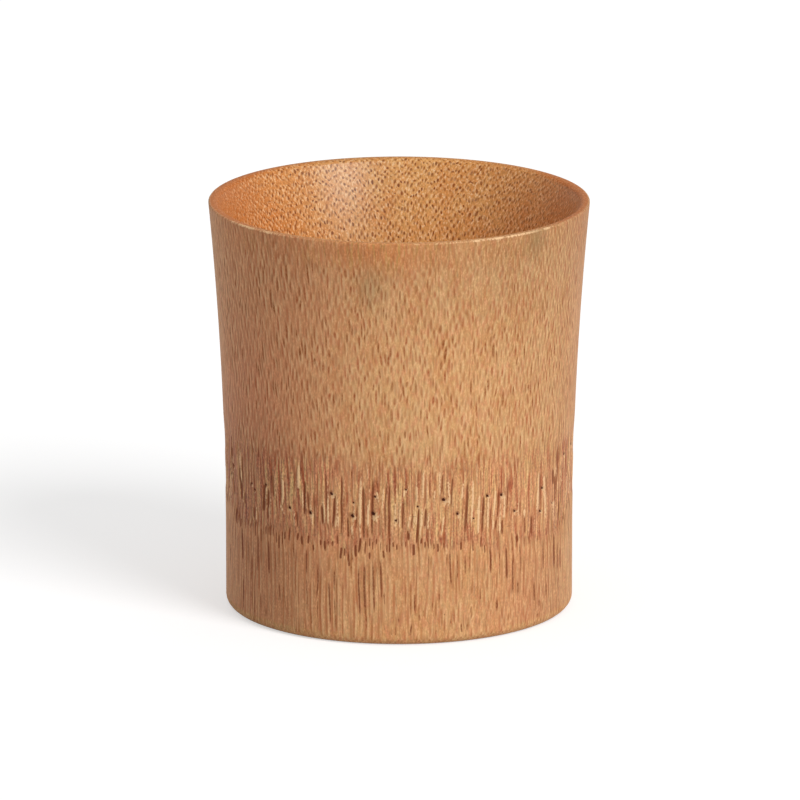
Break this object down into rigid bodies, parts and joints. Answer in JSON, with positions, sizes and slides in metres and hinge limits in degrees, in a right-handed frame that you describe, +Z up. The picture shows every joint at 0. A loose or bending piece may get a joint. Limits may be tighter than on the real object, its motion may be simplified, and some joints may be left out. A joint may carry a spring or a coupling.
{
  "type": "bamboo cup",
  "caption": "Free-standing drinking cup turned from a bamboo culm, flared to a thin lip, with the culm's node as its floor and a clear lacquer film.",
  "frame": {"origin": "centre of the foot ring's resting plane, on the cup's axis", "axes": "+Z up along the cup's axis towards the lip, -Y towards the viewer of the picture, +X to the right"},
  "size_m": [0.0799, 0.08, 0.087],
  "materials": {
    "bamboo": "turned and sanded, brown fibre bundles showing as dashes",
    "bamboo_floor": "turned natural cross wall, tangled fibres",
    "lining_film": "clear gloss lacquer",
    "outer_film": "clear satin lacquer"
  },
  "bodies": {
    "root": {"culm_wall": "bamboo", "node_diaphragm": "bamboo_floor", "lining_lacquer": "lining_film", "outer_lacquer": "outer_film", "underside_lacquer": "outer_film"}
  },
  "joints": []
}
